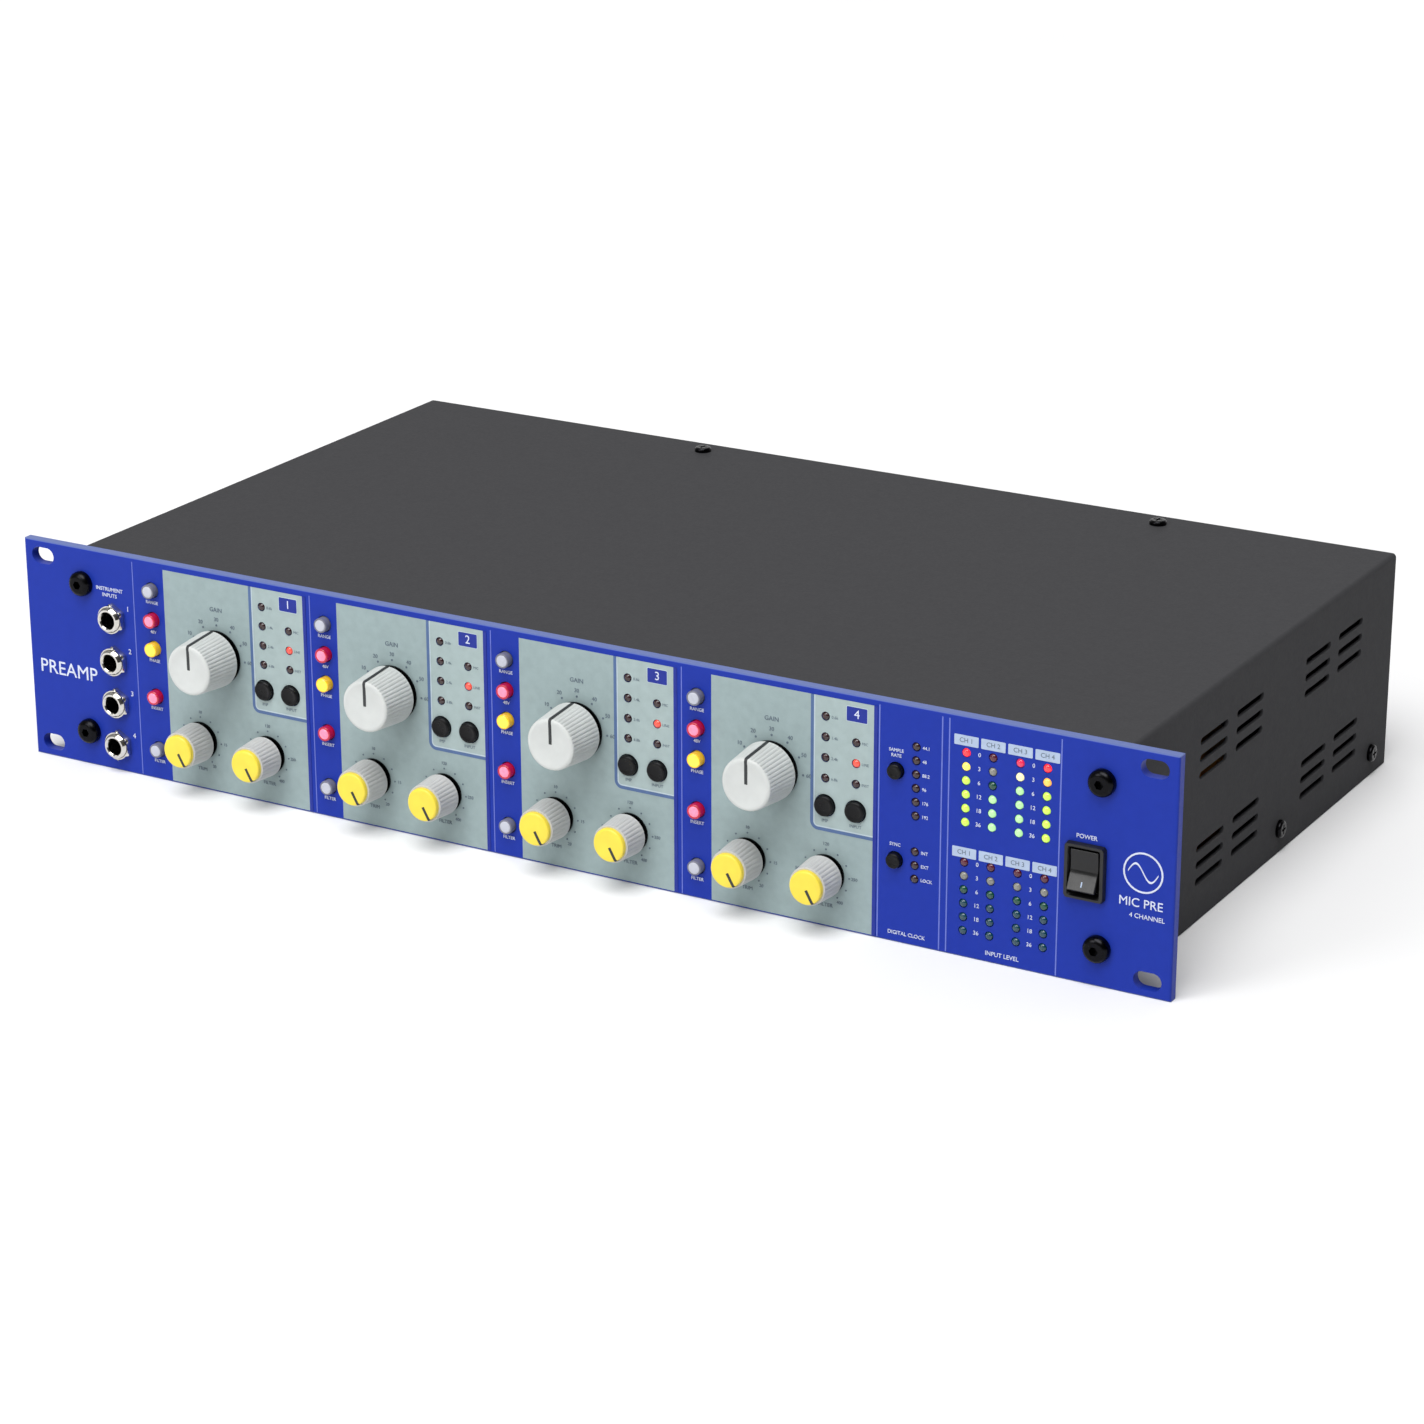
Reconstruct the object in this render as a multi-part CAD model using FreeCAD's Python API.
import FreeCAD, Part
import math
import os

# A four-channel microphone preamplifier for a 19 inch rack, two units high.
# Frame: millimetres, +X to the user's right, +Y to the back, +Z up.
# The origin is the middle of the front panel's rear face, the face that seats
# on the rack rails. Each function below makes one kind of piece, and the last
# section saves every piece to its own file.

# ---- driving dimensions -------------------------------------------------
PANEL_WIDTH = 482.6
PANEL_HEIGHT = 88.1
PANEL_THICK = 4.0
PANEL_EDGE_ROUND = 0.8
SLOT_SPACING_X = 465.1
SLOT_SPACING_Z = 76.2
SLOT_LENGTH = 10.4
SLOT_RADIUS = 3.25
PANEL_SCREW_X = 214.0
PANEL_SCREW_Z = 30.0

CASE_HALF_WIDTH = 221.0
CASE_TOP = 41.25
CASE_BOTTOM = -43.75
CASE_DEPTH = 246.0
SHEET = 1.2
BEND = 1.8
SHEET_GAP = 0.2

CHANNELS = 4
CHANNEL_PITCH = 79.6
FIRST_CHANNEL_X = -180.0
CHANNEL_BUTTON_OFFSET_X = -0.8
CHANNEL_BUTTON_Z = (32.5, 20.7, 9.2, -10.1, -31.6)
GAIN_OFFSET = (29.2, 11.0)
TRIM_OFFSET = (19.6, -24.1)
FILTER_OFFSET = (51.0, -24.1)
LED_COLUMN_OFFSETS = (50.5, 62.5)
LED_TOP_Z = 34.4
LED_ROW_PITCH = 7.6
LED_ROWS = 4
ROUND_BUTTON_Z = 1.5

CLOCK_X = 136.8
CLOCK_BUTTON_Z = (19.6, -13.3)
CLOCK_LED_X = 144.4
METER_X = 163.3
METER_PITCH_X = 10.1
METER_ROWS = 6
METER_ROW_PITCH = 5.05
UPPER_LED_Z = 31.0
RATE_LED_Z = 29.6
LOWER_LED_Z = -8.9
SYNC_LEDS = 3

FRONT_JACK_X = -200.0
FRONT_JACK_TOP_Z = 18.1
FRONT_JACK_PITCH = 17.1
SWITCH_X = 208.8
SWITCH_Z = -3.0

# The rear face, from channel 1 at the user's left to the mains inlet.
REAR_PITCH = 60.0
REAR_XLR_X = -195.0
REAR_JACK_X = -168.0
REAR_ROW_Z = (20.0, -20.0)
CARD_X = 98.0
CARD_Z = 12.0
INLET_X = 183.0
INLET_Z = -16.0
FUSE_Z = 16.0

FRONT = -PANEL_THICK
INSIDE = CASE_HALF_WIDTH - SHEET
TRAY_HALF_WIDTH = INSIDE - SHEET_GAP
TRAY_TOP = CASE_TOP - SHEET - SHEET_GAP
FLOOR = CASE_BOTTOM + SHEET
REAR_INNER = CASE_DEPTH - SHEET
BOARD_Y = 20.0
BOARD_THICK = 1.6

PARTS = "parts"
V = FreeCAD.Vector
X_AXIS = V(1, 0, 0)
Y_AXIS = V(0, 1, 0)
Z_AXIS = V(0, 0, 1)


# ---- shapes used everywhere ---------------------------------------------
def block(x0, x1, y0, y1, z0, z1):
    """A box between two corners."""
    return Part.makeBox(x1 - x0, y1 - y0, z1 - z0, V(x0, y0, z0))


def plate(x, z, width, height, y0, y1):
    """A box centred on (x, z), from y0 to y1."""
    return block(x - width / 2, x + width / 2, y0, y1, z - height / 2, z + height / 2)


def rod(x, z, radius, y0, y1):
    """A cylinder along Y."""
    return Part.makeCylinder(radius, y1 - y0, V(x, y0, z), Y_AXIS)


def post(x, y, radius, z0, z1):
    """A cylinder along Z."""
    return Part.makeCylinder(radius, z1 - z0, V(x, y, z0), Z_AXIS)


def tube(x, z, outer, inner, y0, y1):
    """A hollow cylinder along Y."""
    return rod(x, z, outer, y0, y1).cut(rod(x, z, inner, y0 - 1, y1 + 1))


def rim_edges(shape, y):
    """The edges of a shape that lie in the plane at y."""
    return [e for e in shape.Edges if all(abs(v.Y - y) < 1e-6 for v in e.Vertexes)]


def hexagon(x, z, across, y0, y1):
    """A hexagonal bar along Y, across flats along Z."""
    corner = across / math.sqrt(3)
    turns = [math.radians(60 * k) for k in range(7)]
    points = [V(x + corner * math.cos(a), y0, z + corner * math.sin(a)) for a in turns]
    return Part.Face(Part.makePolygon(points)).extrude(V(0, y1 - y0, 0))


def hex_nut(x, z, across, bore, y0, y1):
    """A hexagonal nut whose corners are chamfered on both faces."""
    corner = across / math.sqrt(3)
    middle = (y0 + y1) / 2
    slope = corner + (y1 - y0) / 2
    low = Part.makeCone(across / 2, slope + across / 2, slope, V(x, y0, z), Y_AXIS)
    high = Part.makeCone(across / 2, slope + across / 2, slope, V(x, y1, z), -Y_AXIS)
    bar = hexagon(x, z, across, y0, y1).cut(rod(x, z, bore, y0 - 1, y1 + 1))
    front = bar.common(low).common(block(x - across, x + across, y0, middle, z - across, z + across))
    back = bar.common(high).common(block(x - across, x + across, middle, y1, z - across, z + across))
    return front.fuse(back).removeSplitter()


def slot_cutter(x, z, length, radius, y0, y1):
    """An obround bar along Y, long side along X."""
    half = length / 2 - radius
    ends = [rod(x - half, z, radius, y0, y1), rod(x + half, z, radius, y0, y1)]
    return plate(x, z, 2 * half, 2 * radius, y0, y1).fuse(ends)


def solids_of(items):
    """Every solid in a list of shapes, without compounds."""
    return [solid for item in items for solid in item.Solids]


def save(name, *items):
    """Writes one node as a STEP file of separate solids."""
    Part.Compound(solids_of(items)).exportStep(os.path.join(PARTS, name + ".step"))


# ---- where the controls sit ---------------------------------------------
def channel_x(channel):
    return FIRST_CHANNEL_X + CHANNEL_PITCH * channel


def channel_led_places():
    """The left column has four lamps in each channel, and the right has the lower three."""
    places = []
    for channel in range(CHANNELS):
        for column, offset in enumerate(LED_COLUMN_OFFSETS):
            for row in range(column, LED_ROWS):
                places.append((channel_x(channel) + offset, LED_TOP_Z - LED_ROW_PITCH * row))
    return places


def clock_led_places():
    rates = [(CLOCK_LED_X, RATE_LED_Z - METER_ROW_PITCH * k) for k in range(METER_ROWS)]
    sources = [(CLOCK_LED_X, LOWER_LED_Z - METER_ROW_PITCH * k) for k in range(SYNC_LEDS)]
    return rates + sources


def meter_led_places():
    return [
        (METER_X + METER_PITCH_X * column, top - METER_ROW_PITCH * row)
        for top in (UPPER_LED_Z, LOWER_LED_Z)
        for column in range(CHANNELS)
        for row in range(METER_ROWS)
    ]


def led_places():
    return channel_led_places() + clock_led_places() + meter_led_places()


def offset_places(offset):
    return [(channel_x(c) + offset[0], offset[1]) for c in range(CHANNELS)]


def round_button_places(column):
    return offset_places((LED_COLUMN_OFFSETS[column], ROUND_BUTTON_Z))


def clock_button_places():
    return [(CLOCK_X, z) for z in CLOCK_BUTTON_Z]


def channel_black_button_places():
    return round_button_places(0) + round_button_places(1)


def lit_button_places():
    return [place for z in CHANNEL_BUTTON_Z for place in offset_places((CHANNEL_BUTTON_OFFSET_X, z))]


def button_places():
    return lit_button_places() + channel_black_button_places() + clock_button_places()


def front_jack_places():
    return [(FRONT_JACK_X, FRONT_JACK_TOP_Z - FRONT_JACK_PITCH * k) for k in range(CHANNELS)]


def rear_xlr_places(row):
    return [(REAR_XLR_X + REAR_PITCH * c, REAR_ROW_Z[row]) for c in range(CHANNELS)]


def rear_jack_places():
    return [(REAR_JACK_X + REAR_PITCH * c, z) for z in REAR_ROW_Z for c in range(CHANNELS)]


def panel_screw_places():
    return [(sx * PANEL_SCREW_X, sz * PANEL_SCREW_Z) for sx in (-1, 1) for sz in (-1, 1)]


# ---- front panel --------------------------------------------------------
LIT_CAP_RADIUS = 2.8
BLACK_CAP_RADIUS = 3.8
CLOCK_CAP_RADIUS = 2.8
CAP_GAP = 0.35
LENS_RADIUS = 1.5
LENS_HOLE = 1.65
BUSH_RADIUS = 3.5
BUSH_HOLE = 3.7
JACK_BUSH_RADIUS = 4.7
JACK_HOLE = 4.9
PANEL_SCREW_HOLE = 2.7
SWITCH_CUTOUT = (13.0, 19.0)


def front_panel():
    """The face plate, with its front edges rounded and every control's hole."""
    sheet = plate(0, 0, PANEL_WIDTH, PANEL_HEIGHT, FRONT, 0)
    sheet = sheet.makeFillet(PANEL_EDGE_ROUND, rim_edges(sheet, FRONT))
    y0, y1 = FRONT - 1, 1
    holes = [rod(x, z, LIT_CAP_RADIUS + CAP_GAP, y0, y1) for x, z in lit_button_places()]
    holes += [rod(x, z, BLACK_CAP_RADIUS + CAP_GAP, y0, y1) for x, z in channel_black_button_places()]
    holes += [rod(x, z, CLOCK_CAP_RADIUS + CAP_GAP, y0, y1) for x, z in clock_button_places()]
    holes += [rod(x, z, LENS_HOLE, y0, y1) for x, z in led_places()]
    holes += [rod(x, z, JACK_HOLE, y0, y1) for x, z in front_jack_places()]
    holes += [rod(x, z, PANEL_SCREW_HOLE, y0, y1) for x, z in panel_screw_places()]
    for offset in (GAIN_OFFSET, TRIM_OFFSET, FILTER_OFFSET):
        holes += [rod(x, z, BUSH_HOLE, y0, y1) for x, z in offset_places(offset)]
    for sx in (-1, 1):
        for sz in (-1, 1):
            x, z = sx * SLOT_SPACING_X / 2, sz * SLOT_SPACING_Z / 2
            holes.append(slot_cutter(x, z, SLOT_LENGTH, SLOT_RADIUS, y0, y1))
    holes.append(plate(SWITCH_X, SWITCH_Z, *SWITCH_CUTOUT, y0, y1))
    return sheet.cut(holes)


# ---- chassis: a tray folded from one sheet, and the rear panel welded to it
FRONT_WINDOW_X = (-209.5, 199.5)
FRONT_WINDOW_Z = (-41.6, 38.0)
SIDE_FLANGE_TOP = -30.5
FRONT_FLANGE_DEPTH = 10.0
REAR_FLANGE_DEPTH = 14.0
COVER_SCREW_HOLE = 2.15
SIDE_SCREW_Y = (30.0, 138.6, 229.5)
SIDE_SCREW_Z = -34.4
TOP_SCREW_X = (-78.6, 126.6)
TOP_SCREW_Y = 235.6
XLR_HOLE = 12.0
XLR_FLANGE = (26.0, 31.0)
XLR_SCREW_OFFSET = (9.5, 12.0)
SMALL_SCREW_HOLE = 1.6
REAR_JACK_HOLE = 4.9
CARD_OPENING = (90.0, 22.0)
CARD_SCREWS = (47.0, 10.5)
INLET_OPENING = (28.2, 20.4)
INLET_SCREW_X = 20.0
FUSE_HOLE = 6.2


def xlr_screw_places():
    """Each socket has two screws, at opposite corners of its flange."""
    places = []
    for row in range(len(REAR_ROW_Z)):
        for x, z in rear_xlr_places(row):
            for side in (-1, 1):
                places.append((x + side * XLR_SCREW_OFFSET[0], z - side * XLR_SCREW_OFFSET[1]))
    return places


def card_screw_places():
    half_x, half_z = CARD_SCREWS
    return [(CARD_X + sx * half_x, CARD_Z + sz * half_z) for sx in (-1, 1) for sz in (-1, 1)]


def inlet_screw_places():
    return [(INLET_X + side * INLET_SCREW_X, INLET_Z) for side in (-1, 1)]


def side_screw_places():
    return [(side, y) for side in (-1, 1) for y in SIDE_SCREW_Y]


def cross_bar(side, y, z, radius, reach):
    """A cylinder along X through one side of the case."""
    x0 = side * (CASE_HALF_WIDTH + 5)
    return Part.makeCylinder(radius, reach, V(x0, y, z), V(-side, 0, 0))


def chassis_tray():
    width = TRAY_HALF_WIDTH
    tray = block(-width, width, 0, REAR_INNER, CASE_BOTTOM, FLOOR)
    walls = [
        block(-width, width, 0, SHEET, CASE_BOTTOM, TRAY_TOP),
        block(-width, width, 0, FRONT_FLANGE_DEPTH, TRAY_TOP - SHEET, TRAY_TOP),
        block(-width, -width + SHEET, 0, REAR_INNER, CASE_BOTTOM, SIDE_FLANGE_TOP),
        block(width - SHEET, width, 0, REAR_INNER, CASE_BOTTOM, SIDE_FLANGE_TOP),
    ]
    tray = tray.fuse(walls).removeSplitter()
    cuts = [block(*FRONT_WINDOW_X, -1, SHEET + 1, *FRONT_WINDOW_Z)]
    cuts.append(plate(SWITCH_X, SWITCH_Z, *SWITCH_CUTOUT, -1, SHEET + 1))
    cuts += [rod(x, z, PANEL_SCREW_HOLE, -1, SHEET + 1) for x, z in panel_screw_places()]
    cuts += [cross_bar(s, y, SIDE_SCREW_Z, COVER_SCREW_HOLE, 12) for s, y in side_screw_places()]
    return tray.cut(cuts)


def rear_panel():
    """The flat rear panel, with a flange along its top that the cover is screwed to."""
    width = TRAY_HALF_WIDTH
    wall = block(-width, width, REAR_INNER, CASE_DEPTH, CASE_BOTTOM, TRAY_TOP)
    flange_y = CASE_DEPTH - REAR_FLANGE_DEPTH
    wall = wall.fuse(block(-width, width, flange_y, CASE_DEPTH, TRAY_TOP - SHEET, TRAY_TOP)).removeSplitter()
    y0, y1 = REAR_INNER - 1, CASE_DEPTH + 1
    cuts = [rod(x, z, XLR_HOLE, y0, y1) for row in (0, 1) for x, z in rear_xlr_places(row)]
    cuts += [rod(x, z, REAR_JACK_HOLE, y0, y1) for x, z in rear_jack_places()]
    small = xlr_screw_places() + card_screw_places() + inlet_screw_places()
    cuts += [rod(x, z, SMALL_SCREW_HOLE, y0, y1) for x, z in small]
    cuts.append(plate(CARD_X, CARD_Z, *CARD_OPENING, y0, y1))
    cuts.append(plate(INLET_X, INLET_Z, *INLET_OPENING, y0, y1))
    cuts.append(rod(INLET_X, FUSE_Z, FUSE_HOLE, y0, y1))
    cuts += [post(x, TOP_SCREW_Y, COVER_SCREW_HOLE, TRAY_TOP - 3, CASE_TOP) for x in TOP_SCREW_X]
    return wall.cut(cuts)


# ---- top cover: the roof and both sides folded from one sheet ------------
COVER_FRONT = 0.3
LIP_WIDTH = 9.0
LIP_GAP = 0.1
VENT_LENGTH = 24.0
VENT_RADIUS = 1.4
VENT_PITCH_Y = 32.0
VENT_FIRST_Y = 73.5
VENT_COLUMNS = (0, 1, 3, 4)
VENT_PITCH_Z = 6.3
VENT_TOP_ROWS = (24.1, -15.9)
VENT_ROWS = 3


def vent_cutters():
    """Slots through both sides: two blocks of three rows, in columns that skip the middle screw."""
    cutters = []
    reach = CASE_HALF_WIDTH + 5
    for column in VENT_COLUMNS:
        middle = VENT_FIRST_Y + VENT_PITCH_Y * column
        half = VENT_LENGTH / 2 - VENT_RADIUS
        for top in VENT_TOP_ROWS:
            for row in range(VENT_ROWS):
                z = top - VENT_PITCH_Z * row
                bar = block(-reach, reach, middle - half, middle + half, z - VENT_RADIUS, z + VENT_RADIUS)
                ends = [
                    Part.makeCylinder(VENT_RADIUS, 2 * reach, V(-reach, middle + s * half, z), X_AXIS)
                    for s in (-1, 1)
                ]
                cutters.append(bar.fuse(ends))
    return cutters


def long_edges(shape, x, z):
    """The edges along Y that run through (x, z) on either side of the case."""
    return [
        e for e in shape.Edges
        if all(abs(abs(v.X) - x) < 1e-6 and abs(v.Z - z) < 1e-6 for v in e.Vertexes)
    ]


def standing_edges(shape, x, y):
    """The edges along Z that run through (x, y) on either side of the case."""
    return [
        e for e in shape.Edges
        if all(abs(abs(v.X) - x) < 1e-6 and abs(v.Y - y) < 1e-6 for v in e.Vertexes)
    ]


def top_cover():
    wide = CASE_HALF_WIDTH
    lip_y = CASE_DEPTH + LIP_GAP
    back = lip_y + SHEET
    shell = block(-wide, wide, COVER_FRONT, back, CASE_BOTTOM, CASE_TOP)
    shell = shell.makeFillet(BEND, long_edges(shell, wide, CASE_TOP) + standing_edges(shell, wide, back))
    hollow = block(-INSIDE, INSIDE, COVER_FRONT - 1, lip_y, CASE_BOTTOM - 1, CASE_TOP - SHEET)
    reach = wide - LIP_WIDTH
    doorway = block(-reach, reach, lip_y - 1, back + 1, CASE_BOTTOM - 1, CASE_TOP - SHEET)
    shell = shell.cut([hollow, doorway] + vent_cutters())
    holes = [cross_bar(s, y, SIDE_SCREW_Z, COVER_SCREW_HOLE, 12) for s, y in side_screw_places()]
    holes += [post(x, TOP_SCREW_Y, COVER_SCREW_HOLE, CASE_TOP - 3, CASE_TOP + 1) for x in TOP_SCREW_X]
    return shell.cut(holes)


# ---- fasteners ----------------------------------------------------------
def turn_to(shape, direction, place):
    """Moves a screw made at the origin, its head towards -Y, so that the head faces direction."""
    turn = FreeCAD.Rotation(V(0, -1, 0), direction)
    moved = shape.copy()
    moved.Placement = FreeCAD.Placement(place, turn)
    return moved


def socket_screw():
    """A domed socket-head screw for the front panel, its seat at the origin."""
    head_radius, head_height = 4.9, 3.5
    head = rod(0, 0, head_radius, -head_height, 0)
    head = head.makeFillet(2.3, rim_edges(head, -head_height))
    head = head.cut(hexagon(0, 0, 3.0, -head_height - 1, -head_height + 2.2))
    return head.fuse(rod(0, 0, 2.45, 0, 10.0)).removeSplitter()


def pan_screw(head_radius, head_height, shank_radius, length):
    """A cross-recessed pan-head screw, its seat at the origin."""
    head = rod(0, 0, head_radius, -head_height, 0)
    head = head.makeFillet(head_height * 0.55, rim_edges(head, -head_height))
    arm = head_radius * 1.1
    depth = head_height * 0.6
    thin = head_radius * 0.24
    cross = [
        plate(0, 0, arm, thin, -head_height - 1, -head_height + depth),
        plate(0, 0, thin, arm, -head_height - 1, -head_height + depth),
    ]
    return head.cut(cross).fuse(rod(0, 0, shank_radius, 0, length)).removeSplitter()


def panel_screws():
    screw = socket_screw()
    return [turn_to(screw, V(0, -1, 0), V(x, FRONT, z)) for x, z in panel_screw_places()]


CARD_PLATE_THICK = 1.5
XLR_FLANGE_THICK = 2.0
INLET_FLANGE_THICK = 2.5


def screws():
    """The front panel's four screws, the cover's eight and the rear connectors' small ones."""
    cover = pan_screw(3.4, 1.9, 1.95, 7.0)
    items = panel_screws()
    items += [
        turn_to(cover, V(s, 0, 0), V(s * CASE_HALF_WIDTH, y, SIDE_SCREW_Z))
        for s, y in side_screw_places()
    ]
    items += [turn_to(cover, V(0, 0, 1), V(x, TOP_SCREW_Y, CASE_TOP)) for x in TOP_SCREW_X]
    small = pan_screw(2.7, 1.6, 1.45, 8.0)
    seats = [(place, XLR_FLANGE_THICK) for place in xlr_screw_places()]
    seats += [(place, CARD_PLATE_THICK) for place in card_screw_places()]
    seats += [(place, INLET_FLANGE_THICK) for place in inlet_screw_places()]
    items += [
        turn_to(small, V(0, 1, 0), V(x, CASE_DEPTH + thick, z)) for (x, z), thick in seats
    ]
    return items


# ---- rotary controls and their knobs ------------------------------------
SHAFT_RADIUS = 3.0
SHAFT_CLEARANCE = 0.08
KNOB_GAP = 2.5
WASHER_THICK = 0.8
NUT_THICK = 2.0
KNOB_BASE = FRONT - KNOB_GAP
GAIN_BASE_RADIUS = 11.0
GAIN_FACE_RADIUS = 9.8
GAIN_LENGTH = 16.0
SMALL_BASE_RADIUS = 7.8
SMALL_FACE_RADIUS = 7.1
SMALL_LENGTH = 11.1
SMALL_CAP_RADIUS = 6.3
SMALL_CAP_THICK = 1.8
RECESS_DEPTH = 3.0
RECESS_RADIUS = 6.3
GAIN_BODY_Y = 6.0
POT_BODY_Y = 9.0


def rotary_control(x, z, body, body_y, washer_radius):
    """A panel-mounted control: its body, a hollow threaded bush, the dust washer and the nut."""
    washer_y = FRONT - WASHER_THICK
    nut_y = washer_y - NUT_THICK
    bore = SHAFT_RADIUS + SHAFT_CLEARANCE
    return [
        body,
        tube(x, z, BUSH_RADIUS, bore, nut_y - 0.4, body_y),
        tube(x, z, washer_radius, BUSH_RADIUS + 0.1, washer_y, FRONT),
        hex_nut(x, z, 10.0, BUSH_RADIUS, nut_y, washer_y),
    ]


def rotary_controls():
    items = []
    for x, z in offset_places(GAIN_OFFSET):
        switch = rod(x, z, 11.5, GAIN_BODY_Y, BOARD_Y)
        items += rotary_control(x, z, switch, GAIN_BODY_Y, GAIN_BASE_RADIUS - 0.5)
    for offset in (TRIM_OFFSET, FILTER_OFFSET):
        for x, z in offset_places(offset):
            pot = plate(x, z, 11.0, 12.0, POT_BODY_Y, BOARD_Y)
            items += rotary_control(x, z, pot, POT_BODY_Y, SMALL_BASE_RADIUS - 0.4)
    return items


def knob_body(x, z, base_radius, face_radius, length, edge_round):
    """A tapered knob with a recess that covers the nut and a blind bore for the shaft."""
    face_y = KNOB_BASE - length
    body = Part.makeCone(base_radius, face_radius, length, V(x, KNOB_BASE, z), V(0, -1, 0))
    body = body.makeFillet(edge_round, rim_edges(body, face_y))
    recess = rod(x, z, RECESS_RADIUS, KNOB_BASE - RECESS_DEPTH, KNOB_BASE + 1)
    bore = rod(x, z, SHAFT_RADIUS, face_y + 3.0, KNOB_BASE + 1)
    return body.cut([recess, bore])


def gain_knob(x, z):
    body = knob_body(x, z, GAIN_BASE_RADIUS, GAIN_FACE_RADIUS, GAIN_LENGTH, 1.2)
    shaft = rod(x, z, SHAFT_RADIUS, KNOB_BASE - GAIN_LENGTH + 3.0, GAIN_BODY_Y - 0.5)
    return [body, shaft]


def small_knob(x, z):
    """A knob with a separate coloured cap on its face."""
    body = knob_body(x, z, SMALL_BASE_RADIUS, SMALL_FACE_RADIUS, SMALL_LENGTH, 0.3)
    face_y = KNOB_BASE - SMALL_LENGTH
    cap = rod(x, z, SMALL_CAP_RADIUS, face_y - SMALL_CAP_THICK, face_y)
    cap = cap.makeFillet(0.7, rim_edges(cap, face_y - SMALL_CAP_THICK))
    shaft = rod(x, z, SHAFT_RADIUS, face_y + 3.0, POT_BODY_Y - 0.5)
    return [body, cap, shaft]


# ---- push buttons and the control board that carries their switches ------
LIT_CAP_PROUD = 2.8
BLACK_CAP_PROUD = 1.7
CLOCK_CAP_PROUD = 2.2
CAP_BACK = 3.0
PLUNGER_RADIUS = 1.5
PLUNGER_END = 13.0
SWITCH_BODY = 8.0
SWITCH_BODY_Y = 8.0
SWITCH_WELL = 17.0


def button(x, z, radius, proud, edge_round):
    """A push-button cap and the switch plunger that it is pressed on."""
    cap = rod(x, z, radius, FRONT - proud, CAP_BACK)
    cap = cap.makeFillet(edge_round, rim_edges(cap, FRONT - proud))
    return [cap, rod(x, z, PLUNGER_RADIUS, CAP_BACK, PLUNGER_END)]


def lit_button(x, z):
    return button(x, z, LIT_CAP_RADIUS, LIT_CAP_PROUD, 0.6)


def black_button(x, z):
    return button(x, z, BLACK_CAP_RADIUS, BLACK_CAP_PROUD, 0.7)


def clock_button(x, z):
    return button(x, z, CLOCK_CAP_RADIUS, CLOCK_CAP_PROUD, 0.6)


def control_board():
    """The upright circuit board behind the panel, with one switch body for each button."""
    items = [block(-188.0, 199.0, BOARD_Y, BOARD_Y + BOARD_THICK, -38.5, 37.0)]
    for x, z in button_places():
        body = plate(x, z, SWITCH_BODY, SWITCH_BODY, SWITCH_BODY_Y, BOARD_Y)
        well = rod(x, z, PLUNGER_RADIUS + 0.3, SWITCH_BODY_Y - 1, SWITCH_WELL)
        items.append(body.cut(well))
    return items


# ---- lamps --------------------------------------------------------------
LENS_TIP = FRONT - 0.6
LENS_BACK = 2.0
SPACER_RADIUS = 1.9


def indicator_leds():
    """Three-millimetre lamps, each on a spacer that stands on the control board."""
    items = []
    for x, z in led_places():
        lens = rod(x, z, LENS_RADIUS, LENS_TIP, LENS_BACK)
        lens = lens.makeFillet(1.2, rim_edges(lens, LENS_TIP))
        items.append(lens.fuse(rod(x, z, SPACER_RADIUS, LENS_BACK, BOARD_Y)))
    return items


# ---- mains switch -------------------------------------------------------
BEZEL_SIZE = (15.0, 20.2)
BEZEL_PROUD = 2.2
ROCKER_CAVITY = (11.0, 16.8)
ROCKER_WIDTH = 10.4
ROCKER_PIVOT_Y = -2.0
ROCKER_TILT = 11.0
PIVOT_PIN = 1.0
PIVOT_REACH = 6.1
CAVITY_BACK = 4.5


def power_switch_frame():
    """The bezel and body of the mains switch, with bearings for the rocker's pins."""
    flange = plate(SWITCH_X, SWITCH_Z, *BEZEL_SIZE, FRONT - BEZEL_PROUD, FRONT)
    flange = flange.makeFillet(0.7, rim_edges(flange, FRONT - BEZEL_PROUD))
    width, height = (side - 0.2 for side in SWITCH_CUTOUT)
    frame = flange.fuse(plate(SWITCH_X, SWITCH_Z, width, height, FRONT, 22.0))
    cavity = plate(SWITCH_X, SWITCH_Z, *ROCKER_CAVITY, FRONT - BEZEL_PROUD - 1, CAVITY_BACK)
    reach = PIVOT_REACH + 0.1
    bearing = Part.makeCylinder(
        PIVOT_PIN + SHAFT_CLEARANCE, 2 * reach, V(SWITCH_X - reach, ROCKER_PIVOT_Y, SWITCH_Z), X_AXIS
    )
    terminals = [
        plate(SWITCH_X + dx, SWITCH_Z + dz, 0.8, 4.8, 22.0, 30.0) for dx in (-3.5, 3.5) for dz in (-5, 5)
    ]
    return [frame.cut([cavity, bearing]), *terminals]


def power_rocker():
    """The rocker, tilted with its upper half pressed in."""
    outline = [(-7.2, 7.1), (-5.2, 0.0), (-7.2, -7.1), (-3.5, -7.4), (1.5, -4.0), (1.5, 4.0), (-3.5, 7.4)]
    x0 = SWITCH_X - ROCKER_WIDTH / 2
    points = [V(x0, y, SWITCH_Z + z) for y, z in outline + outline[:1]]
    body = Part.Face(Part.makePolygon(points)).extrude(V(ROCKER_WIDTH, 0, 0))
    pivot = V(SWITCH_X - PIVOT_REACH, ROCKER_PIVOT_Y, SWITCH_Z)
    body = body.fuse(Part.makeCylinder(PIVOT_PIN, 2 * PIVOT_REACH, pivot, X_AXIS))
    body.rotate(pivot, X_AXIS, -ROCKER_TILT)
    return body.removeSplitter()


# ---- jack, XLR, digital and mains sockets -------------------------------
JACK_BORE = 3.25
JACK_PROUD = 3.9
JACK_BODY_SIZE = 15.6
JACK_CAVITY = 3.7
JACK_NUT_ACROSS = 10.9
JACK_NUT_THICK = 2.4


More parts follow.
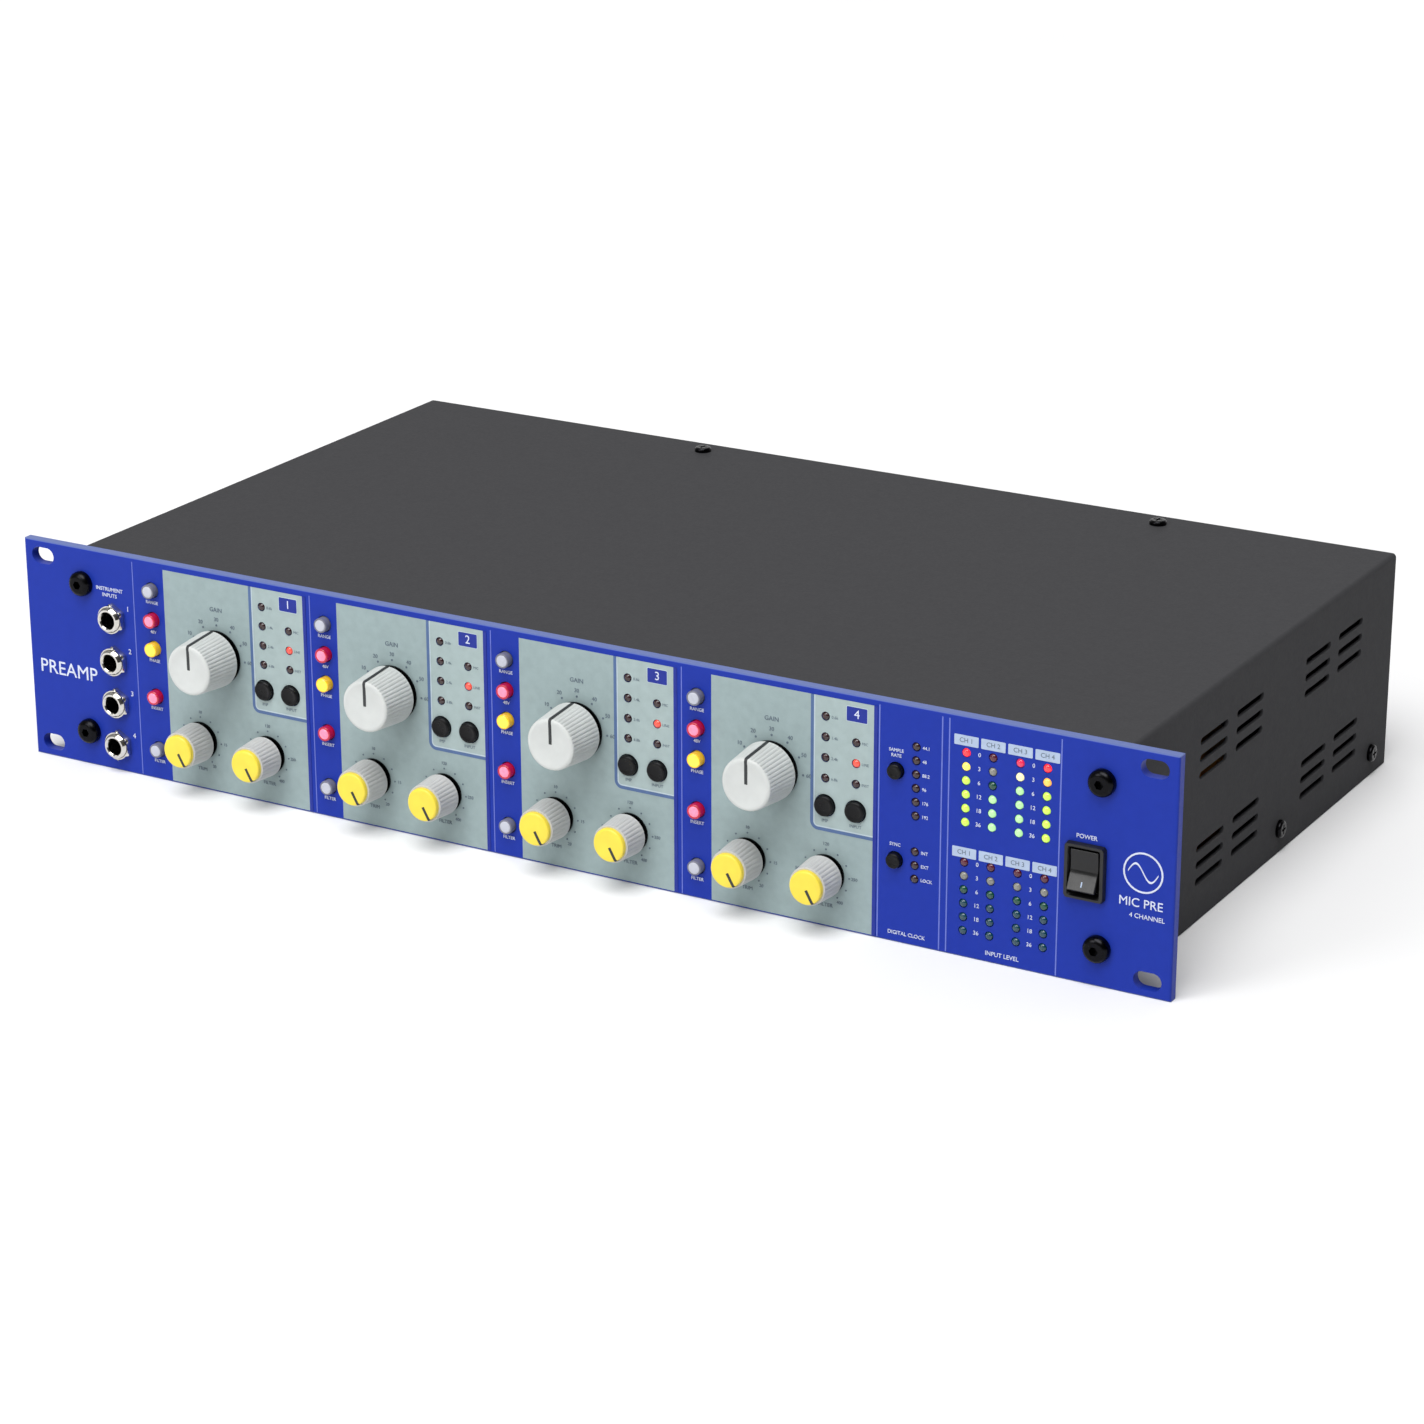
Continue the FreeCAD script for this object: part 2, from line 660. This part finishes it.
def jack_socket(x, z, face_y, outward, wall):
    """A quarter-inch jack. Its nut seats on face_y, and outward is -1 to the front or +1 to the back."""
    def span(near, far):
        ends = (face_y + outward * near, face_y + outward * far)
        return min(ends), max(ends)

    inner = -wall - 1.8
    bush = tube(x, z, JACK_BUSH_RADIUS, JACK_BORE, *span(JACK_PROUD, inner))
    nut = hex_nut(x, z, JACK_NUT_ACROSS, JACK_BUSH_RADIUS, *span(JACK_NUT_THICK, 0))
    body = plate(x, z, JACK_BODY_SIZE, JACK_BODY_SIZE, *span(inner, inner - 24.0))
    cavity = rod(x, z, JACK_CAVITY, *span(inner + 1, inner - 22.5))
    return [bush, nut, body.cut(cavity)]


def jack_sockets():
    items = []
    for x, z in front_jack_places():
        items += jack_socket(x, z, FRONT, -1, PANEL_THICK)
    for x, z in rear_jack_places():
        items += jack_socket(x, z, CASE_DEPTH, 1, SHEET)
    return items


XLR_TUBE_RADIUS = 11.8
XLR_BORE = 9.8
XLR_INSERT_RADIUS = 7.9
XLR_DEPTH = 20.0
XLR_BASE = 3.0
PIN_CIRCLE = 4.6
PIN_ANGLES = (35.0, 145.0, 270.0)
CONTACT_RADIUS = 1.2
XLR_FACE = CASE_DEPTH + XLR_FLANGE_THICK


def contact_places(x, z):
    """The three contacts of an XLR socket: two above and one below."""
    angles = [math.radians(a) for a in PIN_ANGLES]
    return [(x + PIN_CIRCLE * math.cos(a), z + PIN_CIRCLE * math.sin(a)) for a in angles]


def xlr_shell(x, z):
    """The flanged cup of an XLR socket."""
    flange = plate(x, z, *XLR_FLANGE, CASE_DEPTH, XLR_FACE)
    corners = [
        e for e in flange.Edges
        if abs(e.Vertexes[0].Y - e.Vertexes[-1].Y) > 1
    ]
    flange = flange.makeFillet(2.5, corners)
    flange = flange.makeFillet(0.4, rim_edges(flange, XLR_FACE))
    cup = rod(x, z, XLR_TUBE_RADIUS, CASE_DEPTH - XLR_DEPTH, CASE_DEPTH)
    cavity = rod(x, z, XLR_BORE, CASE_DEPTH - XLR_DEPTH + XLR_BASE, XLR_FACE + 1)
    holes = [
        rod(x + s * XLR_SCREW_OFFSET[0], z - s * XLR_SCREW_OFFSET[1], SMALL_SCREW_HOLE, CASE_DEPTH, XLR_FACE)
        for s in (-1, 1)
    ]
    return flange.fuse(cup).cut([cavity, *holes]).removeSplitter()


def female_xlr(x, z):
    """An input: the cup, its insert with three contact holes, and the latch tab."""
    base_y = CASE_DEPTH - XLR_DEPTH + XLR_BASE
    insert = rod(x, z, XLR_INSERT_RADIUS, base_y, XLR_FACE - 0.8)
    wells = [rod(px, pz, CONTACT_RADIUS + 0.15, base_y + 3, XLR_FACE) for px, pz in contact_places(x, z)]
    tab = plate(x, z + 12.2, 6.4, 3.6, XLR_FACE, XLR_FACE + 1.4)
    return [xlr_shell(x, z), insert.cut(wells), tab]


def male_xlr(x, z):
    """An output: the cup and three pins."""
    base_y = CASE_DEPTH - XLR_DEPTH + XLR_BASE
    pins = []
    for px, pz in contact_places(x, z):
        pin = rod(px, pz, CONTACT_RADIUS, base_y, XLR_FACE - 3.0)
        pins.append(pin.makeFillet(0.9, rim_edges(pin, XLR_FACE - 3.0)))
    return [xlr_shell(x, z), *pins]


def xlr_sockets(row, maker):
    """One row of sockets, all of one kind."""
    return [item for x, z in rear_xlr_places(row) for item in maker(x, z)]


CARD_PLATE = (102.0, 28.0)
DSUB_X = -22.0
DSUB_SHELL = (38.6, 8.2)
BNC_X = (24.0, 40.0)


def digital_card():
    """The converter card: its bracket, a 25-way socket, two BNC sockets and the board behind."""
    face = CASE_DEPTH + CARD_PLATE_THICK
    bracket = plate(CARD_X, CARD_Z, *CARD_PLATE, CASE_DEPTH, face)
    holes = [rod(x, z, SMALL_SCREW_HOLE, CASE_DEPTH - 1, face + 1) for x, z in card_screw_places()]
    dsub_x = CARD_X + DSUB_X
    holes.append(plate(dsub_x, CARD_Z, DSUB_SHELL[0] + 0.4, DSUB_SHELL[1] + 0.4, CASE_DEPTH - 1, face + 1))
    holes += [rod(CARD_X + dx, CARD_Z, 4.9, CASE_DEPTH - 1, face + 1) for dx in BNC_X]
    shell = plate(dsub_x, CARD_Z, *DSUB_SHELL, CASE_DEPTH - 10, face + 5.5)
    slant = [
        e for e in shell.Edges
        if abs(e.Vertexes[0].Y - e.Vertexes[-1].Y) > 1 and e.Vertexes[0].Z < CARD_Z
    ]
    shell = shell.makeChamfer(1.6, slant)
    items = [bracket.cut(holes), shell]
    for side in (-1, 1):
        items.append(hex_nut(dsub_x + side * 23.5, CARD_Z, 4.8, 1.3, face, face + 4.0))
    for dx in BNC_X:
        x = CARD_X + dx
        barrel = tube(x, CARD_Z, 4.8, 3.5, CASE_DEPTH - 8, face + 11)
        lugs = Part.makeCylinder(1.0, 12.4, V(x, face + 7.5, CARD_Z - 6.2), Z_AXIS)
        barrel = barrel.fuse(lugs.cut(rod(x, CARD_Z, 4.0, face, face + 12)))
        items += [barrel.removeSplitter(), rod(x, CARD_Z, 3.5, CASE_DEPTH - 8, face + 1)]
        items.append(rod(x, CARD_Z, 1.0, face + 1, face + 9))
        items.append(hex_nut(x, CARD_Z, 13.0, 4.8, face, face + 2.0))
    items.append(block(CARD_X - 44, CARD_X + 44, 170.0, CASE_DEPTH - 10.2, CARD_Z - 8.8, CARD_Z - 7.2))
    return items


INLET_FLANGE = (50.0, 26.0)
INLET_BODY = (27.8, 20.0)
INLET_CAVITY = (24.2, 16.2)
INLET_DEPTH = 15.5
BLADES = ((0.0, 3.2), (-7.0, -1.2), (7.0, -1.2))


def mains_inlet():
    """The mains inlet with its three blades, and the fuse holder above it."""
    face = CASE_DEPTH + INLET_FLANGE_THICK
    flange = plate(INLET_X, INLET_Z, *INLET_FLANGE, CASE_DEPTH, face)
    flange = flange.makeFillet(0.6, rim_edges(flange, face))
    body = flange.fuse(plate(INLET_X, INLET_Z, *INLET_BODY, CASE_DEPTH - 22, CASE_DEPTH))
    cavity = plate(INLET_X, INLET_Z, *INLET_CAVITY, face - INLET_DEPTH, face + 1)
    upper = [
        e for e in cavity.Edges
        if abs(e.Vertexes[0].Y - e.Vertexes[-1].Y) > 1 and e.Vertexes[0].Z > INLET_Z
    ]
    cavity = cavity.makeChamfer(4.5, upper)
    holes = [rod(x, z, SMALL_SCREW_HOLE, CASE_DEPTH - 1, face + 1) for x, z in inlet_screw_places()]
    blades = [
        plate(INLET_X + dx, INLET_Z + dz, 2.0, 4.0, face - INLET_DEPTH, face - 2.0) for dx, dz in BLADES
    ]
    cap = rod(INLET_X, FUSE_Z, 7.6, CASE_DEPTH, CASE_DEPTH + 6.0)
    cap = cap.makeFillet(1.0, rim_edges(cap, CASE_DEPTH + 6.0))
    cap = cap.cut(plate(INLET_X, FUSE_Z, 9.0, 1.6, CASE_DEPTH + 4.5, CASE_DEPTH + 7.0))
    holder = cap.fuse(rod(INLET_X, FUSE_Z, FUSE_HOLE - 0.2, CASE_DEPTH - 26, CASE_DEPTH))
    return [body.cut([cavity, *holes]), *blades, holder]


# ---- circuit boards and supply ------------------------------------------
MAIN_BOARD_Z = FLOOR + 8.0
MAIN_BOARD_X = (-205.0, 96.0)
MAIN_BOARD_Y = (30.0, 216.0)
BOARD_TOP = MAIN_BOARD_Z + BOARD_THICK
TOROID_X = 156.0
TOROID_Y = 128.0


def main_board():
    """The audio circuit board on six stand-offs."""
    board = block(*MAIN_BOARD_X, *MAIN_BOARD_Y, MAIN_BOARD_Z, BOARD_TOP)
    items = [board]
    for x in (-199.0, -54.5, 90.0):
        for y in (36.0, 210.0):
            items.append(post(x, y, 3.0, FLOOR, MAIN_BOARD_Z))
    return items


def audio_transformers():
    """One screened input transformer for each channel."""
    cans = []
    for x, _ in rear_xlr_places(0):
        can = block(x - 2.0, x + 28.0, 160.0, 186.0, BOARD_TOP, BOARD_TOP + 17.0)
        upright = [e for e in can.Edges if abs(e.Vertexes[0].Z - e.Vertexes[-1].Z) > 1]
        cans.append(can.makeFillet(2.0, upright))
    return cans


def board_components():
    """Relays, amplifier chips, capacitors, the regulators' heat sink and the ribbon to the control board."""
    items = []
    for channel in range(CHANNELS):
        x = REAR_XLR_X + REAR_PITCH * channel
        for k in range(3):
            items.append(block(x + 15.0 * k, x + 15.0 * k + 10.0, 130.0, 150.0, BOARD_TOP, BOARD_TOP + 10.0))
            items.append(block(x + 15.0 * k, x + 15.0 * k + 6.0, 100.0, 110.0, BOARD_TOP, BOARD_TOP + 3.0))
        for k in range(4):
            items.append(post(x + 4.0 + 11.0 * k, 80.0, 4.0, BOARD_TOP, BOARD_TOP + 14.0))
    for k in range(2):
        items.append(post(66.0, 70.0 + 34.0 * k, 12.5, BOARD_TOP, BOARD_TOP + 36.0))
    sink = block(50.0, 86.0, 130.0, 134.0, BOARD_TOP, BOARD_TOP + 40.0)
    fins = [
        block(50.0 + 5.6 * k, 52.4 + 5.6 * k, 134.0, 150.0, BOARD_TOP, BOARD_TOP + 40.0) for k in range(7)
    ]
    items.append(sink.fuse(fins).removeSplitter())
    y0 = BOARD_Y + BOARD_THICK
    items.append(block(-30.0, 30.0, y0, y0 + 8.0, -20.0, -14.0))
    items.append(block(-30.0, 30.0, 48.0, 54.0, BOARD_TOP, BOARD_TOP + 8.0))
    top = BOARD_TOP + 8.0
    outline = [(y0 + 8, -16.5), (51.5, -16.5), (51.5, top), (50.5, top), (50.5, -17.5), (y0 + 8, -17.5)]
    points = [V(-28.0, y, z) for y, z in outline + outline[:1]]
    items.append(Part.Face(Part.makePolygon(points)).extrude(V(56.0, 0, 0)))
    return items


def mains_transformer():
    """The toroidal transformer between its pads, held by a centre bolt and a dished washer."""
    pad_top = FLOOR + 1.5
    core_top = pad_top + 38.0
    ring = post(TOROID_X, TOROID_Y, 46.0, pad_top, core_top).cut(
        post(TOROID_X, TOROID_Y, 17.0, pad_top - 1, core_top + 1)
    )
    outer = [e for e in ring.Edges if abs(e.Length - 2 * math.pi * 46.0) < 1e-3]
    ring = ring.makeFillet(8.0, outer)
    pad = post(TOROID_X, TOROID_Y, 40.0, FLOOR, pad_top)
    washer = post(TOROID_X, TOROID_Y, 28.0, core_top, core_top + 2.0)
    washer = washer.cut(post(TOROID_X, TOROID_Y, 3.2, core_top - 1, core_top + 3))
    bolt = post(TOROID_X, TOROID_Y, 3.0, pad_top, core_top + 2.0)
    head = post(TOROID_X, TOROID_Y, 6.0, core_top + 2.0, core_top + 7.0)
    return [pad, ring, washer, bolt.fuse(head).removeSplitter()]


# ---- every piece to its file --------------------------------------------
LIT_BUTTON_NAMES = ("range_button", "phantom_button", "phase_button", "insert_button", "filter_button")


def save_channel(channel):
    """The three knobs and seven buttons of one channel."""
    number = "_" + str(channel + 1)
    knobs = (("gain_knob", gain_knob, GAIN_OFFSET), ("trim_knob", small_knob, TRIM_OFFSET),
             ("filter_knob", small_knob, FILTER_OFFSET))
    for name, maker, (dx, z) in knobs:
        save(name + number, *maker(channel_x(channel) + dx, z))
    for name, z in zip(LIT_BUTTON_NAMES, CHANNEL_BUTTON_Z):
        save(name + number, *lit_button(channel_x(channel) + CHANNEL_BUTTON_OFFSET_X, z))
    for column, name in enumerate(("impedance_button", "source_button")):
        x = channel_x(channel) + LED_COLUMN_OFFSETS[column]
        save(name + number, *black_button(x, ROUND_BUTTON_Z))


def main():
    os.makedirs("parts", exist_ok=True)
    save("front_panel", front_panel())
    save("chassis_tray", chassis_tray())
    save("top_cover", top_cover())
    save("rear_panel", rear_panel())
    save("screws", *screws())
    save("rotary_controls", *rotary_controls())
    save("circuit_boards", *control_board(), *main_board())
    save("indicator_leds", *indicator_leds())
    save("power_switch_frame", *power_switch_frame())
    save("power_rocker", power_rocker())
    save("jack_sockets", *jack_sockets())
    save("xlr_inputs", *xlr_sockets(0, female_xlr))
    save("xlr_outputs", *xlr_sockets(1, male_xlr))
    save("digital_card", *digital_card())
    save("mains_inlet", *mains_inlet())
    save("audio_transformers", *audio_transformers())
    save("board_components", *board_components())
    save("mains_transformer", *mains_transformer())
    for channel in range(CHANNELS):
        save_channel(channel)
    for name, (x, z) in zip(("sample_rate_button", "clock_source_button"), clock_button_places()):
        save(name, *clock_button(x, z))


main()
